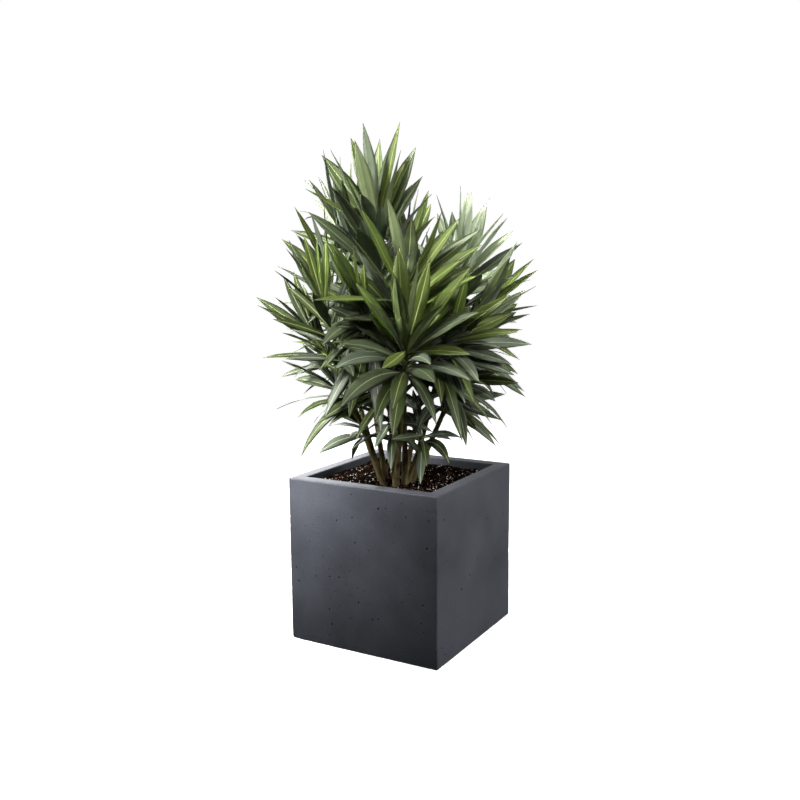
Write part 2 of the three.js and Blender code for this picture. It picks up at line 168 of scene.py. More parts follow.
white_sky()
soft_light("high left light", (-0.6, -1.1, 1.7), (-0.02, -0.05, 0.78), 0.4, 3.6, spread=32)
soft_light("high right light", (0.6, -1.0, 1.6), (0.08, 0, 0.72), 0.4, 0.9, spread=34)
soft_light("low left light", (-0.5, -0.8, 0.95), (-0.28, -0.15, 0.42), 0.3, 2.8, spread=36)
soft_light("left light", (-1.3, -0.35, 0.9), (0, 0, 0.55), 0.6, 2.2, spread=90)
soft_light("right light", (1.25, -0.45, 1.05), (0.1, -0.05, 0.45), 0.5, 6.0)
soft_light("low right light", (1.3, 0.1, 0.7), (0.15, 0, 0.2), 0.4, 1.2, spread=60)
soft_light("back left light", (-1.5, 1.5, 0.8), (-0.05, 0, 0.5), 0.9, 17)
soft_light("back right light", (1.2, 0.7, 1.5), (0.05, 0, 0.55), 0.8, 7.5)
soft_light("top light", (-0.1, -0.1, 2.2), (0, 0, 0.6), 0.8, 4.2)

bpy.ops.mesh.primitive_plane_add(size=FLOOR_SIZE, location=(0, 0, -FLOOR_DROP))
floor = bpy.context.object
floor.name = "floor"
floor.data.materials.append(paper_material())
floor.visible_diffuse = False
floor.visible_glossy = False

bpy.context.scene.view_settings.view_transform = "Standard"

# ---- The planter ----
# An anthracite cube with thick walls, cast in one pour of fibre clay. It stands on its flat underside. Its
# faces are slightly uneven, with pinholes where air sat against the mould, and its edges are a little worn.

POT_EDGE = 0.0018  # radius of the rim's edges
POT_FOOT_EDGE = 0.0022  # and of the edges it stands on
POT_UPRIGHT_EDGE = 0.0025  # and of its upright edges
POT_INNER_EDGE = 0.0015  # and of the upright corners inside
POT_PITCH = 0.003  # spacing of the mesh over its faces
POT_DEPTH_SHOWN = 0.05  # the inside is made down to here, under the soil
EDGE_STEPS = 4
POT_UNEVEN = 0.0004  # depth of the waves in its faces
POT_CRUMBS = 0.0022  # depth of the crumbs lost where two edges meet
POT_EDGE_BAND = 0.006  # how far from an edge they are lost
POT_RIM_BAND = 0.004  # and from the rim
RIM_WEAR = 0.6
BLUNT_CORNER = 0.0006  # how far the lower left corner is drawn in
BLUNT_REACH = 0.014
RAG_DEPTH = 0.0018  # of the ragged stretch of the foot's edge
RAG_LENGTH = 0.09
RAG_BAND = 0.01
CLAY_DARK = (0.036, 0.039, 0.048)
CLAY_LIGHT = (0.071, 0.076, 0.092)
PINHOLES = {"front": 120, "right": 35, "back": 80, "left": 80}
PINHOLE_RADIUS = (0.0006, 0.0019)
PINHOLE_DEPTH = (2.5, 4.0)  # in radii
PINHOLE_RINGS = (0.0, 0.85, 1.0)  # its middle, the ring of its floor and its lip, in radii
PINHOLE_RAG = (0.85, 1.2)  # how far its outline strays from a circle
PINHOLE_SHIFT = 0.0025
PINHOLE_ROOM = 4  # cells of the mesh round each that stay free of others
PINHOLE_CLUSTERS = 14  # noise scale of the patches where they crowd

pot_low, pot_high = (Vector(corner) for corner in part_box("planter"))
soil_low, soil_high = (Vector(corner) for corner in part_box("soil"))
POT_HALF = (pot_high.x - pot_low.x) / 2
POT_TOP = pot_high.z
WALL = soil_low.x - pot_low.x


def new_piece(name, points, faces, materials, face_materials=None, smooth=True):
    """A mesh object from arrays of points and faces, all faces having the same number of corners."""
    mesh = bpy.data.meshes.new(name)
    points = np.asarray(points, dtype=np.float32)
    faces = np.asarray(faces, dtype=np.int32)
    corners = faces.shape[1]
    mesh.vertices.add(len(points))
    mesh.vertices.foreach_set("co", points.ravel())
    mesh.loops.add(faces.size)
    mesh.loops.foreach_set("vertex_index", faces.ravel())
    mesh.polygons.add(len(faces))
    mesh.polygons.foreach_set("loop_start", np.arange(0, faces.size, corners, dtype=np.int32))
    for material in materials:
        mesh.materials.append(material)
    if face_materials is not None:
        mesh.polygons.foreach_set("material_index", np.asarray(face_materials, dtype=np.int32))
    mesh.polygons.foreach_set("use_smooth", np.full(len(faces), smooth))
    mesh.update(calc_edges=True)
    mesh.validate()
    piece = bpy.data.objects.new(name, mesh)
    bpy.context.scene.collection.objects.link(piece)
    return piece


def mix(start, end, share):
    return start + (end - start) * share


def square_loop(half, radius, cells):
    """Points and outward normals round a square with rounded corners, seen from above, anticlockwise."""
    spots = []
    straight = half - radius
    for quarter in range(4):
        turn = Matrix.Rotation(quarter * math.pi / 2, 2)
        for step in range(cells):
            place = Vector((-straight + 2 * straight * step / cells, -half))
            spots.append((turn @ place, turn @ Vector((0, -1))))
        for step in range(EDGE_STEPS):
            angle = -math.pi / 2 + math.pi / 2 * step / EDGE_STEPS
            normal = Vector((math.cos(angle), math.sin(angle)))
            spots.append((turn @ (Vector((straight, -straight)) + radius * normal), turn @ normal))
    return spots


def planter_profile():
    """How far in from the outer face, and how high, each ring of the planter's mesh lies."""
    def arc(inset, height, radius, start, end):
        angles = [start + (end - start) * step / EDGE_STEPS for step in range(EDGE_STEPS + 1)]
        return [(inset + radius * math.cos(a), height + radius * math.sin(a)) for a in angles]

    rings = arc(POT_FOOT_EDGE, POT_FOOT_EDGE, POT_FOOT_EDGE, -math.pi / 2, -math.pi)
    low, high = POT_FOOT_EDGE, POT_TOP - POT_EDGE
    steps = round((high - low) / POT_PITCH)
    face_rings = range(len(rings), len(rings) + steps - 1)
    rings += [(0, low + (high - low) * step / steps) for step in range(1, steps)]
    rings += arc(POT_EDGE, high, POT_EDGE, math.pi, math.pi / 2)
    rings += [(WALL * share, POT_TOP) for share in (0.3, 0.5, 0.7)]
    rings += arc(WALL - POT_EDGE, high, POT_EDGE, math.pi / 2, 0)
    rings += [(WALL, POT_TOP - POT_DEPTH_SHOWN * share) for share in (0.25, 0.4, 0.7, 1)]
    return rings, face_rings


def worn(point):
    """How far the cast surface lies below its true face: gentle waves, and crumbs lost from the edges."""
    waves = 0.5 + 0.5 * noise.noise(point * 9) + 0.12 * noise.noise(point * 60)
    edges = sum(abs(point[axis]) > POT_HALF - POT_EDGE_BAND for axis in (0, 1))
    edges += point.z > POT_TOP - POT_RIM_BAND or point.z < POT_EDGE_BAND
    crumbs = max(0, noise.noise(point * 120) - 0.25) if edges > 1 else 0
    return POT_UNEVEN * waves + POT_CRUMBS * crumbs


def knocked_corner(point):
    """The lower left corner of the wide face is a little blunt, and the edge beside it is ragged."""
    away = (point - Vector((-POT_HALF, -POT_HALF, 0))).length
    blunt = BLUNT_CORNER * max(0, 1 - away / BLUNT_REACH) ** 1.5
    along = point.x + POT_HALF
    ragged = point.z < RAG_BAND and point.y < -POT_HALF + RAG_BAND and along < RAG_LENGTH
    rag = RAG_DEPTH * (0.35 + noise.noise(point * 90)) * (1 - along / RAG_LENGTH) if ragged else 0
    return Vector((blunt, blunt, blunt + max(0, rag)))


def planter_mesh():
    """Rings of points up the outside, over the rim and down the inside, with the normals round a ring."""
    rings, face_rings = planter_profile()
    cells = round(2 * (POT_HALF - POT_UPRIGHT_EDGE) / POT_PITCH)
    around = 4 * (cells + EDGE_STEPS)
    points = np.zeros((len(rings), around, 3))
    normals = np.zeros((around, 2))
    for index, (inset, height) in enumerate(rings):
        loop = square_loop(POT_HALF - inset, max(POT_INNER_EDGE, POT_UPRIGHT_EDGE - inset), cells)
        for side, (spot, normal) in enumerate(loop):
            point = Vector((spot.x, spot.y, height))
            normals[side] = normal
            outside = inset < WALL / 2
            depth = worn(point) * (1 if outside else -1)
            point -= Vector((normal.x, normal.y, 0)) * depth
            if height > POT_TOP - POT_EDGE:
                point.z -= worn(point) * RIM_WEAR
            points[index, side] = point + knocked_corner(point)
    return points, normals, cells, face_rings


def prick_pinholes(points, normals, cells, face_rings):
    """Pits: the points round a mesh point are drawn in to two rings, and the inner ones are sunk."""
    rng = np.random.default_rng(5)
    taken = np.zeros(points.shape[:2], dtype=bool)
    lips = taken.copy()
    for quarter, count in enumerate(PINHOLES.values()):
        first = quarter * (cells + EDGE_STEPS)
        made = 0
        while made < count:
            row = rng.integers(face_rings.start + PINHOLE_ROOM, face_rings.stop - PINHOLE_ROOM)
            column = first + rng.integers(PINHOLE_ROOM, cells - PINHOLE_ROOM)
            here = Vector(points[row, column])
            crowd = noise.noise(here * PINHOLE_CLUSTERS + Vector((3, 1, 7)))
            near = taken[row - PINHOLE_ROOM:row + PINHOLE_ROOM + 1,
                         column - PINHOLE_ROOM:column + PINHOLE_ROOM + 1]
            if near.any() or rng.random() > 0.45 + 1.2 * crowd:
                continue
            taken[row, column] = True
            made += 1
            radius = mix(*PINHOLE_RADIUS, rng.random() ** 2)
            depth = radius * rng.uniform(*PINHOLE_DEPTH)
            normal = np.array([*normals[column], 0])
            along = np.array([-normal[1], normal[0], 0])
            centre = points[row, column] + along * rng.uniform(-1, 1) * PINHOLE_SHIFT
            centre[2] += rng.uniform(-1, 1) * PINHOLE_SHIFT
            for up in range(-2, 3):
                for over in range(-2, 3):
                    ring = max(abs(up), abs(over))
                    reach = radius * PINHOLE_RINGS[ring] / max(1, math.hypot(up, over))
                    reach *= rng.uniform(*PINHOLE_RAG)
                    spot = centre + along * over * reach
                    spot[2] += up * reach
                    points[row + up, column + over] = spot - normal * depth * (ring < 2)
            lips[row - 2:row + 3, column - 2:column + 3] = True
            lips[row - 1:row + 2, column - 1:column + 2] = False
    return lips


def grid_faces(rows, around):
    """Quads between closed rings of points."""
    row, side = np.meshgrid(np.arange(rows - 1), np.arange(around), indexing="ij")
    start, after = row * around, (side + 1) % around
    quads = [start + side, start + after, start + around + after, start + around + side]
    return np.stack(quads, axis=-1).reshape(-1, 4)


def two_tones(tree, dark, light, start=0.35, end=0.65):
    """A ramp from one colour to another."""
    ramp = add(tree, "ShaderNodeValToRGB")
    for element, position, colour in zip(ramp.color_ramp.elements, (start, end), (dark, light)):
        element.position = position
        element.color = (*colour, 1)
    return ramp


def fibre_clay_material():
    """Dark grey with a breath of blue, clouded, finely speckled, and glossier where it is darker."""
    material = bpy.data.materials.new("anthracite fibre clay")
    material.use_nodes = True
    tree = material.node_tree
    shader = tree.nodes["Principled BSDF"]
    place = add(tree, "ShaderNodeTexCoord")
    clouds = add(tree, "ShaderNodeTexNoise")
    socket(clouds, "Scale", 7.0)
    socket(clouds, "Detail", 6.0)
    socket(clouds, "Roughness", 0.62)
    colour = two_tones(tree, CLAY_DARK, CLAY_LIGHT, 0.3, 0.72)
    speckle = add(tree, "ShaderNodeTexNoise")
    socket(speckle, "Scale", 420.0)
    socket(speckle, "Detail", 2.0)
    fleck = add(tree, "ShaderNodeMapRange")
    socket(fleck, "From Min", 0.3)
    socket(fleck, "From Max", 0.7)
    socket(fleck, "To Min", 0.85)
    socket(fleck, "To Max", 1.15)
    tinted = add(tree, "ShaderNodeMix", data_type="RGBA", blend_type="MULTIPLY")
    socket(tinted, "Factor", 1.0)
    gloss = add(tree, "ShaderNodeMapRange")
    socket(gloss, "To Min", 0.42)
    socket(gloss, "To Max", 0.62)
    bump = add(tree, "ShaderNodeBump")
    socket(bump, "Strength", 0.12)
    socket(bump, "Distance", 0.0006)
    tree.links.new(place.outputs["Object"], clouds.inputs["Vector"])
    tree.links.new(place.outputs["Object"], speckle.inputs["Vector"])
    tree.links.new(clouds.outputs["Fac"], colour.inputs["Fac"])
    tree.links.new(speckle.outputs["Fac"], fleck.inputs["Value"])
    tree.links.new(colour.outputs["Color"], tinted.inputs["A"])
    tree.links.new(fleck.outputs["Result"], tinted.inputs["B"])
    tree.links.new(tinted.outputs["Result"], shader.inputs["Base Color"])
    tree.links.new(clouds.outputs["Fac"], gloss.inputs["Value"])
    tree.links.new(gloss.outputs["Result"], shader.inputs["Roughness"])
    tree.links.new(speckle.outputs["Fac"], bump.inputs["Height"])
    tree.links.new(bump.outputs["Normal"], shader.inputs["Normal"])
    return material


def close_ring(piece, ring):
    """Fills a ring of a piece's points with one face."""
    shape = bmesh.new()
    shape.from_mesh(piece.data)
    shape.verts.ensure_lookup_table()
    shape.faces.new([shape.verts[index] for index in ring])
    bmesh.ops.recalc_face_normals(shape, faces=shape.faces)
    shape.to_mesh(piece.data)
    shape.free()


pot_points, pot_normals, pot_cells, pot_face_rings = planter_mesh()
lips = prick_pinholes(pot_points, pot_normals, pot_cells, pot_face_rings).ravel()
ring_count, ring_size = pot_points.shape[:2]
planter_faces = grid_faces(ring_count, ring_size)
planter = new_piece("cast_planter", pot_points.reshape(-1, 3), planter_faces, [fibre_clay_material()])
close_ring(planter, range(ring_size))
close_ring(planter, range((ring_count - 1) * ring_size, ring_count * ring_size))
edge_ends = np.zeros(2 * len(planter.data.edges), dtype=np.int32)
planter.data.edges.foreach_get("vertices", edge_ends)
planter.data.edges.foreach_set("use_edge_sharp", lips[edge_ends.reshape(-1, 2)].all(axis=1))
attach(planter, "root")
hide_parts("planter")

# ---- The soil ----
# Dark, moist potting compost: a loose crumbly surface of peat and bark with white grains of perlite and a
# few straw-coloured fibres. It fills the planter to a finger's breadth below the rim.

SOIL_PITCH = 0.0025
SOIL_HEAP = 0.0005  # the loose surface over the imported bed
SOIL_LUMPS = 0.00315
SOIL_MOUND = 0.004
MOUND_REACH = 0.045
SOIL_GRAIN = 0.0012
SOIL_SPREAD = 0.97  # share of the bed's width over which loose grains lie
SOIL_CRUMBS = 3600
SOIL_PERLITE = 560
SOIL_FIBRES = 60
FOOT = Vector((0.015, -0.05, soil_high.z))  # the middle of the clump of stems


def soil_height(x, y):
    """The lie of the soil: lumps, smaller lumps, and a low mound round the stems."""
    lumps = noise.noise(Vector((x, y, 0)) * 28) + 0.6 * noise.noise(Vector((x, y, 5)) * 90)
    mound = math.exp(-((x - FOOT.x) ** 2 + (y - FOOT.y) ** 2) / MOUND_REACH ** 2)
    return soil_high.z + SOIL_HEAP + SOIL_LUMPS * lumps + SOIL_MOUND * mound


def soil_point(x, y):
    return x, y, soil_height(x, y) + SOIL_GRAIN * noise.noise(Vector((x, y, 9)) * 300)


def soil_bed():
    cells = round((soil_high.x - soil_low.x) / SOIL_PITCH)
    line = np.linspace(soil_low.x, soil_high.x, cells + 1)
    points = [soil_point(x, y) for y in line for x in line]
    row, column = np.meshgrid(np.arange(cells), np.arange(cells), indexing="ij")
    corner = row * (cells + 1) + column
    faces = np.stack([corner, corner + 1, corner + cells + 2, corner + cells + 1], axis=-1).reshape(-1, 4)
    return points, faces


def lump_shapes(count, rng):
    """Rough stones with twenty faces each, all different."""
    seed = bmesh.new()
    bmesh.ops.create_icosphere(seed, subdivisions=1, radius=1)
    ball = np.array([vert.co[:] for vert in seed.verts])
    faces = np.array([[vert.index for vert in face.verts] for face in seed.faces])
    seed.free()
    points = ball[None] * rng.uniform(0.7, 1.15, (count, len(ball), 1))
    return points, faces


def scattered(name, count, size, materials, seed, sunk=0.3, flat=(1, 1, 0.8)):
    """Loose grains over the soil, joined in one piece, each with one of the materials."""
    rng = np.random.default_rng(seed)
    shapes, faces = lump_shapes(count, rng)
    scale = rng.uniform(*size, (count, 1, 1)) * np.array(flat) * rng.uniform(0.7, 1.3, (count, 1, 3))
    turn = rng.uniform(0, 2 * math.pi, count)
    cos, sin = np.cos(turn)[:, None], np.sin(turn)[:, None]
    shapes = shapes * scale
    points = np.stack([shapes[..., 0] * cos - shapes[..., 1] * sin,
                       shapes[..., 0] * sin + shapes[..., 1] * cos, shapes[..., 2]], axis=-1)
    reach = (soil_high.x - soil_low.x) / 2 * SOIL_SPREAD - size[1]
    spots = rng.uniform(-reach, reach, (count, 2))
    heights = np.array([soil_height(x, y) for x, y in spots]) + scale[:, 0, 2] * (1 - 2 * sunk)
    points += np.concatenate([spots, heights[:, None]], axis=1)[:, None]
    faces = faces[None] + (np.arange(count) * shapes.shape[1])[:, None, None]
    kinds = np.repeat(rng.integers(0, len(materials), count), faces.shape[1])
    return new_piece(name, points.reshape(-1, 3), faces.reshape(-1, 3), materials, kinds, smooth=False)


def grain_material(name, dark, light, rough, scale=160.0):
    """A dull natural stuff whose colour wanders between two tones."""
    material = bpy.data.materials.new(name)
    material.use_nodes = True
    tree = material.node_tree
    shader = tree.nodes["Principled BSDF"]
    socket(shader, "Roughness", rough)
    socket(shader, "Specular IOR Level", 0.0)  # so that it stays dark where it is seen at a low angle
    place = add(tree, "ShaderNodeTexCoord")
    grain = add(tree, "ShaderNodeTexNoise")
    socket(grain, "Scale", scale)
    socket(grain, "Detail", 4.0)
    colour = two_tones(tree, dark, light)
    bump = add(tree, "ShaderNodeBump")
    socket(bump, "Strength", 0.5)
    socket(bump, "Distance", 0.0008)
    tree.links.new(place.outputs["Object"], grain.inputs["Vector"])
    tree.links.new(grain.outputs["Fac"], colour.inputs["Fac"])
    tree.links.new(grain.outputs["Fac"], bump.inputs["Height"])
    tree.links.new(colour.outputs["Color"], shader.inputs["Base Color"])
    tree.links.new(bump.outputs["Normal"], shader.inputs["Normal"])
    return material


peat = grain_material("moist peat", (0.001, 0.0007, 0.0006), (0.005, 0.0033, 0.0023), 0.95)
bark_crumb = grain_material("bark crumbs", (0.010, 0.005, 0.003), (0.042, 0.021, 0.014), 0.85)
perlite = grain_material("perlite", (0.42, 0.38, 0.32), (0.8, 0.76, 0.7), 0.9)
straw = grain_material("straw fibres", (0.16, 0.10, 0.05), (0.34, 0.24, 0.13), 0.8)

soil_points, soil_faces = soil_bed()
soil = new_piece("potting_soil", soil_points, soil_faces, [peat])
crumb_stuffs = [peat, peat, peat, bark_crumb]
crumbs = scattered("soil_crumbs", SOIL_CRUMBS, (0.0008, 0.0026), crumb_stuffs, seed=11)
perlite_grains = scattered("perlite_grains", SOIL_PERLITE, (0.0004, 0.0014), [perlite], seed=12, sunk=0.15)
fibres = scattered("soil_fibres", SOIL_FIBRES, (0.0006, 0.001), [straw], seed=13, sunk=0.1,
                   flat=(6, 0.7, 0.5))
for grains in (crumbs, perlite_grains, fibres):
    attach(grains, "root")
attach(soil, "root")
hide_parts("soil")

# ---- The stems and boughs ----
# Ten stems as thick as a finger rise from one root, lean apart and fork once or twice. They are olive-brown
# at the foot and green towards their leaves, ringed by old leaf scars in threes, with fine ribs and pores.

MM = 0.001
STEM_RADIUS = 5.6 * MM
BOUGH_RADIUS = 3.8 * MM
SHOOT_RADIUS = 2.9 * MM
TIP_RADIUS = 1.7 * MM
FOOT_RING = 0.026  # radius of the ring of stems where they leave the soil
FOOT_SUNK = 0.006  # how far they run on into it
FLARE = 0.25
FLARE_HEIGHT = 0.05
SCAR_SPACING = 0.021
SCAR_WIDTH = 0.09  # of the spacing
SCAR_SHIFT = 0.37  # so that no two limbs are ringed at the same heights
SCAR_SWELLING = (0.05, 0.07)  # all round, and at the three scars
RIBS = 5
RIB_DEPTH = 0.018
BARK_GRAIN = 0.00022
ELBOW = np.array([0.5, 0.5, 0.4])  # where a limb bends, as shares of the way from its root to its tip
BOUGH_START = 0.004  # the stretch of a limb that is made as a tube, as shares of its length
LIMB_END = 0.997
LIMB_SIDES = 14
LIMB_PITCH = 0.003

# How shoots grow: the whorls of leaves, how slim a leaf is, how far the youngest and the oldest lean out,
# how much the oldest sag, and the age from which they have greyed or take a painted sheen (0 is the
# youngest leaf, 1 the oldest).
UPRIGHT = dict(whorls=9, slim=0.18, open=11, spread=58, sag=0.2, grey_from=0.56)
SLENDER = dict(whorls=9, slim=0.135, open=13, spread=70, sag=0.24, grey_from=0.35)
SPARSE = dict(SLENDER, whorls=8)
ROSETTE = dict(whorls=10, slim=0.175, open=14, spread=86, sag=0.48, grey_from=0.3)
HANGING = dict(whorls=6, slim=0.17, open=34, spread=92, sag=0.6, grey_from=0)
LOW = dict(whorls=4, slim=0.2, open=50, spread=105, sag=0.75, grey_from=0)
THIN = dict(whorls=4, slim=0.05, open=8, spread=26, sag=0.7, grey_from=0.56)

LIMBS = [
    dict(name="top", bearing=-150, reach=31, height=749,
         leafy=160, leaf=198, seed=1, turn=40, habit=UPRIGHT),
    dict(name="front", foot=-62, bearing=-51, reach=120, height=540,
         leafy=62, leaf=196, seed=66, turn=20, habit=ROSETTE),
    dict(name="centre", foot=-22, bearing=-48, reach=73, height=634,
         leafy=94, leaf=182, seed=54, turn=40, habit=UPRIGHT),
    dict(name="right_low", parent="centre", fork=0.5, bearing=-14, reach=124, height=552,
         leafy=60, leaf=160, seed=55, turn=20, habit=ROSETTE),
    dict(name="pale", foot=52, bearing=43, reach=119, height=669,
         leafy=110, leaf=172, seed=14, turn=40, habit=UPRIGHT),
    dict(name="right", foot=15, bearing=20, reach=150, height=592,
         leafy=100, leaf=158, seed=76, turn=80, habit=UPRIGHT),
    dict(name="left", foot=-112, bearing=-113, reach=150, height=622,
         leafy=165, leaf=130, seed=4, turn=0, habit=SLENDER),
    dict(name="upper_left", foot=-157, bearing=-176, reach=130, height=662,
         leafy=120, leaf=150, seed=91, turn=100, habit=SLENDER),
    dict(name="far_left", parent="upper_left", fork=0.45, bearing=-147, reach=142, height=556,
         leafy=90, leaf=130, seed=37, turn=40, habit=SPARSE),
    dict(name="top_left", parent="top", fork=0.6, bearing=178, reach=84, height=706,
         leafy=90, leaf=172, seed=72, turn=60, habit=SLENDER),
    dict(name="centre_left", parent="top", fork=0.45, bearing=-96, reach=88, height=604,
         leafy=80, leaf=165, seed=59, turn=80, habit=ROSETTE),
    dict(name="lower_front", parent="front", fork=0.45, bearing=-84, reach=84, height=478,
         leafy=45, leaf=116, seed=82, turn=100, habit=HANGING),
    dict(name="lower_right", parent="right", fork=0.4, bearing=3, reach=128, height=488,
         leafy=60, leaf=116, seed=92, turn=20, habit=HANGING),
    dict(name="far_right", parent="pale", fork=0.48, bearing=50, reach=162, height=556,
         leafy=80, leaf=112, seed=92, turn=40, habit=SLENDER),
    dict(name="bottom_right", parent="pale", fork=0.3, bearing=26, reach=96, height=442,
         leafy=45, leaf=119, seed=21, turn=20, habit=HANGING),
    dict(name="bottom_left", parent="left", fork=0.38, bearing=-132, reach=106, height=466,
         leafy=55, leaf=130, seed=89, turn=40, habit=HANGING),
    dict(name="back_right", foot=90, bearing=82, reach=132, height=612,
         leafy=110, leaf=152, seed=5, turn=60, habit=UPRIGHT),
    dict(name="back", foot=127, bearing=104, reach=78, height=696,
         leafy=120, leaf=158, seed=37, turn=60, habit=UPRIGHT),
    dict(name="back_left", foot=165, bearing=150, reach=130, height=618,
         leafy=110, leaf=165, seed=25, turn=40, habit=UPRIGHT),
    dict(name="back_low_right", parent="back_right", fork=0.42, bearing=92, reach=122, height=530,
         leafy=60, leaf=145, seed=2, turn=20, habit=ROSETTE),
    dict(name="back_middle", parent="back", fork=0.45, bearing=118, reach=140, height=580,
         leafy=90, leaf=147, seed=4, turn=60, habit=ROSETTE),
    dict(name="back_low_left", parent="back_left", fork=0.42, bearing=158, reach=118, height=520,
         leafy=60, leaf=130, seed=8, turn=80, habit=ROSETTE),
    dict(name="thin_left", parent="top_left", fork=0.14, bearing=178, reach=113, height=730,
         leafy=50, leaf=190, seed=32, turn=30, habit=THIN),
    dict(name="low_front", parent="front", fork=0.2, bearing=-66, reach=60, height=414,
         leafy=35, leaf=92, seed=22, turn=30, habit=LOW),
    dict(name="low_right", parent="right", fork=0.14, bearing=-15, reach=66, height=384,
         leafy=32, leaf=92, seed=41, turn=60, habit=LOW),
    dict(name="low_left", parent="left", fork=0.12, bearing=-120, reach=62, height=398,
         leafy=32, leaf=106, seed=16, turn=60, habit=LOW),
]


def unit(vectors):
    return vectors / np.linalg.norm(vectors, axis=-1, keepdims=True)


def polar(bearing, reach, height):
    angle = math.radians(bearing)
    return np.array([FOOT.x + reach * math.cos(angle), FOOT.y + reach * math.sin(angle), height])


class Limb:
    """A limb leans out from its root and turns up towards its leafy tip."""

    def __init__(self, index, name, bearing, reach, height, leafy, leaf, seed, turn, habit,
                 foot=None, parent=None, fork=0):
        self.index, self.name, self.habit, self.parent = index, name, habit, parent
        self.seed, self.turn = seed, turn
        self.leaf = leaf * MM
        if parent:
            root = parent.at(fork)[0]
        else:
            root = polar(foot or 0, 0 if foot is None else FOOT_RING, FOOT.z)
        tip = polar(bearing, reach * MM, height * MM)
        self.ends = root, mix(root, tip, ELBOW), tip
        self.times = np.linspace(0, 1, 201)
        steps = np.linalg.norm(np.diff(self.point(self.times), axis=0), axis=1)
        self.lengths = np.concatenate([[0], np.cumsum(steps)])
        self.length = self.lengths[-1]
        self.leafy_from = 1 - leafy * MM / self.length

    def point(self, time):
        root, elbow, tip = self.ends
        time = np.asarray(time)[..., None]
        return (1 - time) ** 2 * root + 2 * (1 - time) * time * elbow + time ** 2 * tip

    def at(self, share):
        """The point and the direction at a share of the limb's length."""
        root, elbow, tip = self.ends
        time = np.interp(np.asarray(share) * self.length, self.lengths, self.times)
        slope = (1 - time)[..., None] * (elbow - root) + time[..., None] * (tip - elbow)
        return self.point(time), unit(slope)

    def radius(self, share):
        foot = BOUGH_RADIUS if self.parent else STEM_RADIUS
        bare = mix(foot, SHOOT_RADIUS, share / self.leafy_from)
        if not self.parent:
            bare = bare * (1 + FLARE * np.exp(-share / FLARE_HEIGHT))
        young = mix(SHOOT_RADIUS, TIP_RADIUS, (share - self.leafy_from) / (1 - self.leafy_from))
        return np.where(share < self.leafy_from, bare, young)


def frame_of(along):
    """A right-handed frame round each direction, none of which is near the X axis."""
    across = unit(np.array([1.0, 0, 0]) - along[..., :1] * along)
    return across, np.cross(along, across)


def limb_tube(limb):
    """A limb's skin: a tapering tube, swollen and scarred in threes at each old whorl, with fine ribs."""
    rings = max(8, round(limb.length / LIMB_PITCH))
    share = np.linspace(BOUGH_START if limb.parent else 0, LIMB_END, rings + 1)
    centre, along = limb.at(share)
    across, outward = frame_of(along)
    angle = np.arange(LIMB_SIDES) * 2 * math.pi / LIMB_SIDES
    distance = share[:, None] * limb.length
    whorl = distance / SCAR_SPACING + SCAR_SHIFT * limb.index
    nearness = np.exp(-(((whorl + 0.5) % 1 - 0.5) / SCAR_WIDTH) ** 2)
    scar = np.cos(3 * angle[None] + math.pi * np.floor(whorl + 0.5))
    ribs = np.cos(RIBS * angle[None] + 6 * limb.index) * RIB_DEPTH
    swelling = nearness * (SCAR_SWELLING[0] + SCAR_SWELLING[1] * scar)
    radius = limb.radius(share)[:, None] * (1 + ribs + swelling)
    points = centre[:, None] + radius[..., None] * (
        across[:, None] * np.cos(angle)[None, :, None] + outward[:, None] * np.sin(angle)[None, :, None])
    if not limb.parent:
        points[0, :, 2] = soil_high.z - FOOT_SUNK
    for ring in points:
        for point in ring:
            point += BARK_GRAIN * np.array(noise.noise_vector(Vector(point) * 260))
    points = np.concatenate([points, limb.at(1.0)[0][None, None].repeat(LIMB_SIDES, axis=1)])
    return points, share


def bark_material(name, dark, light, rough, relief):
    """Bark or green skin, streaked lengthwise, with small pale pores."""
    material = grain_material(name, dark, light, rough, scale=90.0)
    tree = material.node_tree
    shader = tree.nodes["Principled BSDF"]
    place = tree.nodes["Texture Coordinate"]
    stretched = add(tree, "ShaderNodeMapping")
    socket(stretched, "Scale", (1, 1, 0.22))
    pores = add(tree, "ShaderNodeTexVoronoi")
    socket(pores, "Scale", 300.0)
    dots = add(tree, "ShaderNodeMapRange")
    socket(dots, "From Min", 0.08)
    socket(dots, "From Max", 0.24)
    socket(dots, "To Min", 1.6)
    socket(dots, "To Max", 1.0)
    lit = add(tree, "ShaderNodeMix", data_type="RGBA", blend_type="MULTIPLY")
    socket(lit, "Factor", 1.0)
    tree.links.new(place.outputs["Object"], stretched.inputs["Vector"])
    tree.links.new(stretched.outputs["Vector"], tree.nodes["Noise Texture"].inputs["Vector"])
    tree.links.new(place.outputs["Object"], pores.inputs["Vector"])
    tree.links.new(pores.outputs["Distance"], dots.inputs["Value"])
    tree.links.new(tree.nodes["Color Ramp"].outputs["Color"], lit.inputs["A"])
    tree.links.new(dots.outputs["Result"], lit.inputs["B"])
    tree.links.new(lit.outputs["Result"], shader.inputs["Base Color"])
    socket(tree.nodes["Bump"], "Strength", relief)
    return material


limbs = {}
for number, facts in enumerate(LIMBS):
    facts = dict(facts, parent=limbs.get(facts.get("parent")))
    limbs[facts["name"]] = Limb(number, **facts)

barks = [
    bark_material("olive-brown bark", (0.052, 0.042, 0.019), (0.135, 0.108, 0.052), 0.75, 0.6),
    bark_material("olive-green bark", (0.052, 0.055, 0.018), (0.112, 0.112, 0.040), 0.6, 0.4),
    bark_material("green skin of young shoots", (0.060, 0.095, 0.016), (0.105, 0.150, 0.030), 0.5, 0.2),
]
STEM_BARK_ENDS = 0.5  # share of the bare stretch at which brown bark gives way to green
BOUGH_BARK_ENDS = 0.2


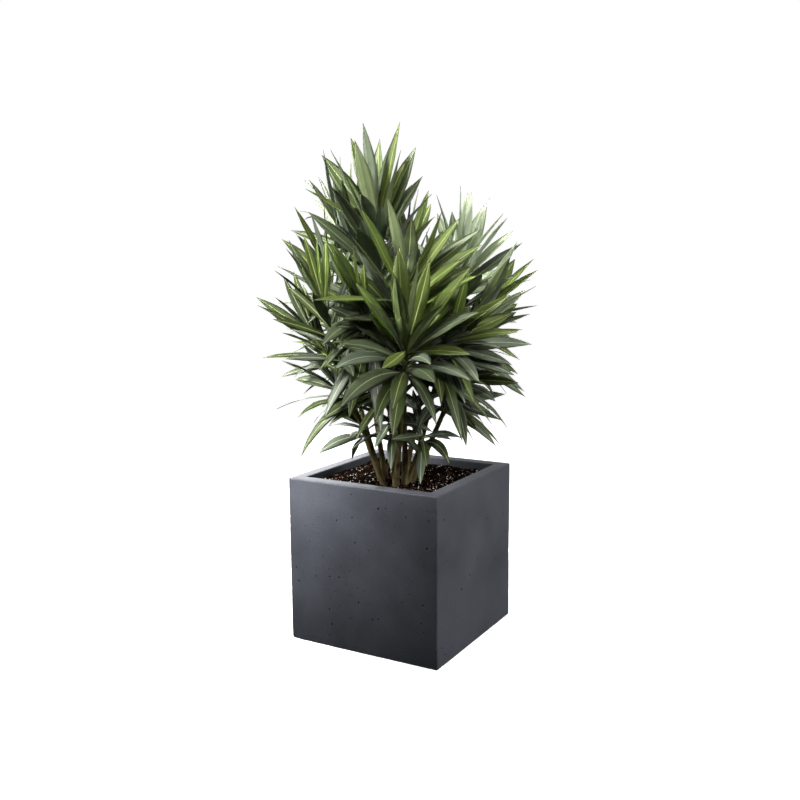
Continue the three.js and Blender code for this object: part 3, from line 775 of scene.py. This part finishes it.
def limb_skins():
    """All the limbs' tubes in one set of points and faces, with each face's kind of bark."""
    points, faces, kinds, start = [], [], [], 0
    for limb in limbs.values():
        tube, share = limb_tube(limb)
        quads = grid_faces(len(tube), LIMB_SIDES)
        middle = np.append(share, 1.0)[:-1].repeat(LIMB_SIDES)
        wander = 0.08 * np.sin(np.arange(len(quads)) * 2.4)
        bare = middle / limb.leafy_from + wander
        brown_ends = BOUGH_BARK_ENDS if limb.parent else STEM_BARK_ENDS
        kinds.append((bare > brown_ends).astype(int) + (bare > 1))
        points.append(tube.reshape(-1, 3))
        faces.append(quads + start)
        start += tube.shape[0] * LIMB_SIDES
    return np.concatenate(points), np.concatenate(faces), np.concatenate(kinds)


limb_points, limb_faces, limb_kinds = limb_skins()
stems = new_piece("stems_and_boughs", limb_points, limb_faces, barks, limb_kinds)
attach(stems, "root")
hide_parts(*[("bough_" if limb.parent else "stem_") + limb.name for limb in limbs.values()])

# ---- The leaves ----
# Long, leathery, lance-shaped leaves with a pale midrib, each on a short stalk, in whorls of three up the
# shoots. The young ones stand up round the tip, the older ones spread and the oldest hang. They are dull
# green above and paler below, and grey with age. The pale shoot and some old leaves have a painted sheen
# in their colour.

LEAVES_PER_WHORL = 3
WHORL_CROWDING = 1.15  # over 1, the whorls stand closer near the tip
FOOT_MARGIN = 0.06
END_MARGIN = 0.02
LIGHT_FROM = np.array([0.35, -0.8, 0.5])
SUNWARD = 1.1  # how strongly the blades face the light
YOUNGEST_LEAF = 0.82
OLDEST_LEAF = 0.88
TURN, LEAN, TWIST, LENGTH, SAG = range(1, 6)
TURN_WOBBLE = 26
LEAN_WOBBLE = 16
TWIST_WOBBLE = 50
LENGTH_WOBBLE = 0.2
SAG_WOBBLE = 0.8
LEAF_TRIES = 18
TRY_TURN = 16  # each further try may turn and lean this much more
TRY_LEAN = 8
LEAF_ROOT_SHARE = 0.2
SMALL_WHORLS = (0.5, 0.78)  # on full shoots, shorter leaves stand halfway between the main whorls

# The crown is egg-shaped. Over the soil it may hang down nearly to it, and elsewhere to just above the rim.
CELL = 0.003
CROWN_MIDDLE = 0.570
CROWN_HEIGHT = 0.368
CROWN_REACH = 0.262
CROWN_BOTTOM = 0.332
LEAF_CLEARANCE = 0.007
SPACE_MARGIN = 0.02
SPACE_HEIGHT = 0.66

STATIONS = np.array([0, 0.02, 0.05, 0.1, 0.17, 0.26, 0.36, 0.47, 0.58, 0.69, 0.79, 0.87, 0.93, 0.97, 1.0])
BLADE = np.array([0.09, 0.12, 0.17, 0.30, 0.50, 0.72, 0.89, 0.99, 1.0, 0.89, 0.68, 0.45, 0.25, 0.11, 0.01])
RIB_PLACE = 0.1  # stands for the midrib's edge, which lies elsewhere at each station
ACROSS = np.array([-1, -0.55, -RIB_PLACE, 0, RIB_PLACE, 0.55, 1])
RIB_WIDTH = (0.0010, 0.0004)  # half the midrib's width at the leaf's root and near its tip
STALK_WIDTH = (0.0010, 0.0001)  # the least half width that a leaf has there
LEAF_SPIN = 12
LEAF_BEND = 0.028
LEAF_FOLD = (15, 5)  # the rise of each half of the blade, in degrees, on the youngest and the oldest leaf
FOLD_WOBBLE = 4
LEAF_ROLL = (0.02, 0.16)  # how far the edges roll under, on the youngest and the oldest leaf
LEAF_RIPPLE = 0.0005
LEAF_THICKNESS = 0.0007
THICK_STATIONS = [0, 0.06, 0.2, 1]
THICKENING = [1.9, 1.2, 1, 0.6]
DRY_FROM = 0.965  # the last stretch of a leaf, which is dark and dry


def chance(seed, leaf, kind):
    value = math.sin(seed * 127.1 + leaf * 311.7 + kind * 74.7) * 43758.5453
    return value - math.floor(value)


class Leaf:
    """One leaf of a shoot: the rule gives its root, direction, blade side, length, width and sag."""

    def __init__(self, limb, whorl, slot, attempt, size=1):
        habit = limb.habit
        self.limb = limb
        self.age = 1 - whorl / (habit["whorls"] - 1)
        self.number = whorl * LEAVES_PER_WHORL + slot + 100 * attempt
        leafy = 1 - limb.leafy_from
        lowest = limb.leafy_from + FOOT_MARGIN * leafy
        highest = 1 - END_MARGIN * leafy
        self.root, along = limb.at(mix(highest, lowest, self.age ** WHORL_CROWDING))
        across, outward = frame_of(along)
        turn = limb.turn + 360 / LEAVES_PER_WHORL * (slot + whorl / 2)
        bearing = math.radians(turn + self.wobble(TURN, TURN_WOBBLE + TRY_TURN * attempt))
        out = across * math.cos(bearing) + outward * math.sin(bearing)
        lean = mix(habit["open"], habit["spread"], self.age)
        lean = math.radians(lean + self.wobble(LEAN, LEAN_WOBBLE + TRY_LEAN * attempt))
        self.direction = along * math.cos(lean) + out * math.sin(lean)
        flat = np.cross(along, out)
        face = np.cross(self.direction, flat)
        lit = LIGHT_FROM - self.direction * (LIGHT_FROM @ self.direction)
        face = unit(face + lit * SUNWARD)
        flat = np.cross(face, self.direction)
        twist = math.radians(self.wobble(TWIST, TWIST_WOBBLE))
        self.side = flat * math.cos(twist) + face * math.sin(twist)
        grown = min(1, YOUNGEST_LEAF + self.age) * mix(1, OLDEST_LEAF, self.age)
        self.length = limb.leaf * grown * (1 + self.wobble(LENGTH, LENGTH_WOBBLE)) * size
        self.width = self.length * habit["slim"]
        self.sag = habit["sag"] * self.age * (1 + self.wobble(SAG, SAG_WOBBLE))

    def wobble(self, kind, size):
        return (chance(self.limb.seed, self.number, kind) - 0.5) * size

    def midrib(self, share):
        """Points and directions along the midrib, which leaves the shoot straight and then sags."""
        share = np.asarray(share)[:, None]
        middle = self.root + self.direction * self.length / 2
        tip = self.root + self.direction * self.length * (1 - self.sag / 3) - [0, 0, self.sag * self.length]
        points = (1 - share) ** 2 * self.root + 2 * (1 - share) * share * middle + share ** 2 * tip
        return points, unit((1 - share) * (middle - self.root) + share * (tip - middle))

    def cells(self):
        """The cells of space that the blade crosses beyond its root, or none where it leaves the crown."""
        share = np.linspace(LEAF_ROOT_SHARE, 1, math.ceil(self.length / CELL * 1.4))
        points, _ = self.midrib(share)
        out = np.hypot(points[:, 0] - FOOT.x, points[:, 1] - FOOT.y) / CROWN_REACH
        up = (points[:, 2] - CROWN_MIDDLE) / CROWN_HEIGHT
        over_soil = abs(points[:, :2]).max(axis=1) < soil_high.x - LEAF_CLEARANCE
        bottom = np.where(over_soil, FOOT.z + LEAF_CLEARANCE, CROWN_BOTTOM)
        if (points[:, 2] < bottom).any() or (np.hypot(out, up) > 1).any():
            return None
        across = np.linspace(-0.5, 0.5, math.ceil(self.width / CELL * 1.2))
        half = blade_width(share) * self.width
        spots = points[:, None] + (across[None] * half[:, None])[..., None] * self.side
        return np.unique(((spots.reshape(-1, 3) - SPACE_LOW) / CELL).astype(int), axis=0)


def blade_width(share):
    """Width of the blade along its length, as a share of its greatest."""
    return np.interp(share, STATIONS, BLADE)


SPACE_REACH = CROWN_REACH + SPACE_MARGIN
SPACE_LOW = np.array([FOOT.x - SPACE_REACH, FOOT.y - SPACE_REACH, soil_high.z])
SPACE_CELLS = np.ceil(np.array([2 * SPACE_REACH, 2 * SPACE_REACH, SPACE_HEIGHT]) / CELL).astype(int)
taken = np.zeros(SPACE_CELLS, dtype=bool)

for limb in limbs.values():
    bare = np.linspace(0.02, limb.leafy_from, round(limb.length / CELL * 2))
    centre, along = limb.at(bare)
    across, outward = frame_of(along)
    radius = limb.radius(bare)[:, None]
    for angle in np.arange(8) * math.pi / 4:
        skin = centre + radius * (across * math.cos(angle) + outward * math.sin(angle))
        taken[tuple(((skin - SPACE_LOW) / CELL).astype(int).T)] = True

leaves = []


def grow(limb, whorl, slot, size):
    """Adds the first of a few tries at a leaf that crosses no other and stays in the crown."""
    for attempt in range(LEAF_TRIES):
        leaf = Leaf(limb, whorl, slot, attempt, size)
        cells = leaf.cells()
        if cells is not None and not taken[tuple(cells.T)].any():
            taken[tuple(cells.T)] = True
            leaves.append(leaf)
            return


for between, size in ((0, 1), SMALL_WHORLS):
    for limb in limbs.values():
        if between and limb.habit not in (UPRIGHT, ROSETTE):
            continue
        for whorl in range(limb.habit["whorls"] - 1, 0, -1):
            for place in range(LEAVES_PER_WHORL):
                grow(limb, whorl - between, place, size)


def leaf_skin(leaf):
    """Points of one leaf: rings round the blade, each of seven points above and five below."""
    rng = np.random.default_rng(round(leaf.limb.index * 1000 + leaf.number * 2))
    points, along = leaf.midrib(STATIONS)
    spin = math.radians(rng.normal(0, LEAF_SPIN)) * STATIONS[:, None]
    side = leaf.side * np.cos(spin) + np.cross(along, leaf.side) * np.sin(spin)
    face = unit(np.cross(along, side))
    side = np.cross(face, along)
    bend = leaf.length * rng.normal(0, LEAF_BEND)
    points = points + side * bend * (STATIONS ** 2)[:, None]
    half = np.maximum(blade_width(STATIONS) * leaf.width / 2, mix(*STALK_WIDTH, STATIONS))
    rib = np.minimum(mix(*RIB_WIDTH, STATIONS), half * 0.6)
    fold = math.tan(math.radians(mix(*LEAF_FOLD, leaf.age) + rng.normal(0, FOLD_WOBBLE)))
    roll = mix(*LEAF_ROLL, leaf.age) * rng.uniform(0.4, 1.4)
    ripple = LEAF_RIPPLE * np.sin(STATIONS * rng.uniform(14, 26) + rng.uniform(0, 6))
    thick = LEAF_THICKNESS * np.interp(STATIONS, THICK_STATIONS, THICKENING)

    def spot(place, above):
        out = np.where(abs(place) == RIB_PLACE, np.sign(place) * rib / half, place)
        across_blade = out * half
        lift = fold * abs(across_blade) - roll * half * abs(out) ** 3
        lift = lift + ripple * abs(out) * np.sin(math.pi * STATIONS)
        if abs(place) < 1:
            bulge = 0.35 * rib if place == 0 else 0
            lift = lift + (thick / 2 + 0.4 * bulge if above else -thick / 2 - 2.2 * bulge)
        return points + side * across_blade[:, None] + face * lift[:, None]

    ring = [spot(place, True) for place in ACROSS] + [spot(place, False) for place in ACROSS[-2:0:-1]]
    return np.stack(ring, axis=1)


RING = 2 * len(ACROSS) - 2
UPPER, UNDER, RIB, TIP = range(4)
RING_KINDS = np.array([UPPER, UPPER, RIB, RIB, UPPER, UPPER] + 6 * [UNDER])
LEAF_SHINE = 0.3


def leaf_material(name, colour, rough, veins):
    """A leaf's skin: its given green, a little uneven, over a fine bumpy grain."""
    material = bpy.data.materials.new(name)
    material.use_nodes = True
    tree = material.node_tree
    shader = tree.nodes["Principled BSDF"]
    socket(shader, "Roughness", rough)
    socket(shader, "Specular IOR Level", LEAF_SHINE)
    place = add(tree, "ShaderNodeTexCoord")
    uneven = add(tree, "ShaderNodeTexNoise")
    socket(uneven, "Scale", 26.0)
    socket(uneven, "Detail", 3.0)
    dark, light = [[share * part for part in colour] for share in (0.8, 1.2)]
    tones = two_tones(tree, dark, light, 0.3, 0.7)
    fine = add(tree, "ShaderNodeTexNoise")
    socket(fine, "Scale", 700.0)
    bump = add(tree, "ShaderNodeBump")
    socket(bump, "Strength", veins)
    socket(bump, "Distance", 0.0003)
    tree.links.new(place.outputs["Object"], uneven.inputs["Vector"])
    tree.links.new(place.outputs["Object"], fine.inputs["Vector"])
    tree.links.new(uneven.outputs["Fac"], tones.inputs["Fac"])
    tree.links.new(tones.outputs["Color"], shader.inputs["Base Color"])
    tree.links.new(fine.outputs["Fac"], bump.inputs["Height"])
    tree.links.new(bump.outputs["Normal"], shader.inputs["Normal"])
    return material


def dried(colour):
    return 0.6 * colour[0], 0.45 * colour[1], 0.5 * colour[2]


TINTS = {  # upper side, underside, midrib
    "olive": ((0.064, 0.090, 0.018), (0.120, 0.150, 0.066), (0.32, 0.36, 0.13)),
    "fresh": ((0.078, 0.119, 0.019), (0.140, 0.186, 0.066), (0.37, 0.43, 0.14)),
    "deep": ((0.038, 0.055, 0.013), (0.078, 0.101, 0.048), (0.24, 0.28, 0.12)),
    # The pale tint is partly the young leaves' light grey-green and partly a painted sheen: it is made far
    # brighter than the others to stand in for light glancing off them.
    "pale_with_painted_sheen": ((0.300, 0.365, 0.215), (0.400, 0.470, 0.320), (0.60, 0.66, 0.42)),
    "greyed": ((0.055, 0.072, 0.034), (0.106, 0.131, 0.082), (0.24, 0.28, 0.16)),
    # The bluish tint is partly the old leaves' blue-grey and partly a painted sheen: it is lighter and
    # bluer to stand in for light glancing off the hanging leaves.
    "bluish_with_painted_sheen": ((0.092, 0.114, 0.074), (0.145, 0.175, 0.122), (0.32, 0.36, 0.24)),
}
tint_names = list(TINTS)
leaf_materials = []
for tint, (upper, under, rib) in TINTS.items():
    leaf_materials += [
        leaf_material(f"{tint} upper side", upper, rough=0.42, veins=0.25),
        leaf_material(f"{tint} underside", under, rough=0.6, veins=0.4),
        leaf_material(f"{tint} midrib", rib, rough=0.45, veins=0.1),
        leaf_material(f"{tint} dry tip", dried(upper), rough=0.6, veins=0.2),
    ]

# The tints that the leaves of some shoots take, those of every other shoot, and those of greyed leaves, one
# of which is partly a painted sheen.
SHOOT_TINTS = {
    "pale": ["pale_with_painted_sheen", "pale_with_painted_sheen", "pale_with_painted_sheen", "greyed"],
    "left": ["fresh", "olive", "greyed"],
    "far_left": ["greyed", "deep", "greyed"],
    "upper_left": ["olive", "deep", "greyed"],
    "top": ["olive", "deep", "olive", "greyed"],
    "top_left": ["olive", "deep", "greyed"],
    "right": ["olive", "pale_with_painted_sheen", "greyed"],
    "front": ["fresh", "olive", "olive"],
    "thin_left": ["pale_with_painted_sheen", "greyed"],
}
OTHER_TINTS = ["olive", "deep", "olive", "fresh"]
OLD_TINTS = ["greyed", "bluish_with_painted_sheen", "deep"]
OLD_SHARE = 0.98


def tint_of(leaf):
    rng = np.random.default_rng(round(leaf.limb.index * 7919 + leaf.number * 2))
    old = leaf.age >= leaf.limb.habit["grey_from"] and leaf.limb.name != "pale"
    choices = SHOOT_TINTS.get(leaf.limb.name, OTHER_TINTS)
    if old and rng.random() < OLD_SHARE:
        choices = OLD_TINTS
    return tint_names.index(choices[rng.integers(len(choices))])


def foliage(name, names):
    """The leaves of some shoots as one piece."""
    points, faces, kinds = [], [], []
    quads = grid_faces(len(STATIONS), RING)
    strips = np.tile(RING_KINDS, len(STATIONS) - 1)
    at_tip = np.repeat(STATIONS[:-1] >= DRY_FROM, RING)
    for leaf in leaves:
        if leaf.limb.name in names:
            faces.append(quads + len(points) * RING * len(STATIONS))
            points.append(leaf_skin(leaf).reshape(-1, 3))
            kinds.append(4 * tint_of(leaf) + np.where(at_tip, TIP, strips))
    piece = new_piece(name, np.concatenate(points), np.concatenate(faces), leaf_materials,
                      np.concatenate(kinds))
    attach(piece, "root")
    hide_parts(*[f"leaves_{limb}" for limb in names])


BUNCHES = {
    "upper_leaves": ["top", "top_left", "back", "upper_left", "thin_left"],
    "front_leaves": ["front", "centre", "centre_left", "lower_front", "low_front", "right_low"],
    "left_leaves": ["left", "far_left", "bottom_left", "back_left", "back_low_left", "low_left"],
    "right_leaves": ["right", "pale", "lower_right", "far_right", "bottom_right", "low_right"],
    "back_leaves": ["back_right", "back_low_right", "back_middle"],
}
for bunch, names in BUNCHES.items():
    foliage(bunch, names)
